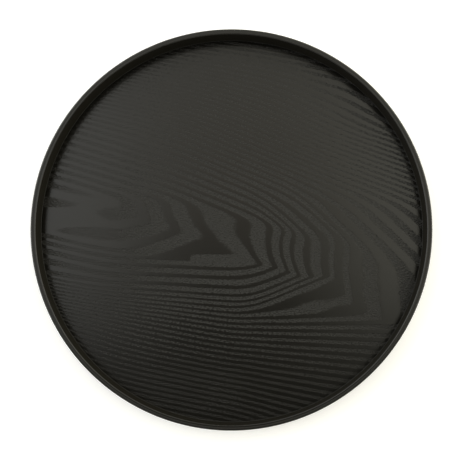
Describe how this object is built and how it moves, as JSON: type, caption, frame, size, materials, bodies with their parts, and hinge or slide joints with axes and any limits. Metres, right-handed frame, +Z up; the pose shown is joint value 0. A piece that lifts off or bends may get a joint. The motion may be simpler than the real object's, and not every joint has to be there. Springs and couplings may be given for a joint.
{
  "type": "serving tray",
  "caption": "Round serving tray with a low upright rim of bent plies, a rounded lip and a flat ash-veneered floor, stained black.",
  "frame": {"origin": "centre of the rim's lower edge, on the surface that the tray stands on", "axes": "+Z up, out of the tray's open side; +X along the grain of the floor's face leaf"},
  "size_m": [0.38, 0.38, 0.036],
  "materials": {
    "stained_ash": "black-stained ash, open grain, satin",
    "stained_edge": "black-stained cross-grain edge, satin",
    "floor_core": "bare cross-laid birch ply"
  },
  "bodies": {
    "root": {"rim_outer_ply": "stained_ash", "rim_core_ply": "stained_edge", "rim_inner_ply": "stained_ash", "floor_retaining_hoop": "stained_ash", "floor_face_leaf": "stained_ash", "floor_upper_ply": "floor_core", "floor_middle_ply": "floor_core", "floor_lower_ply": "floor_core", "floor_back_leaf": "stained_ash"}
  },
  "joints": []
}
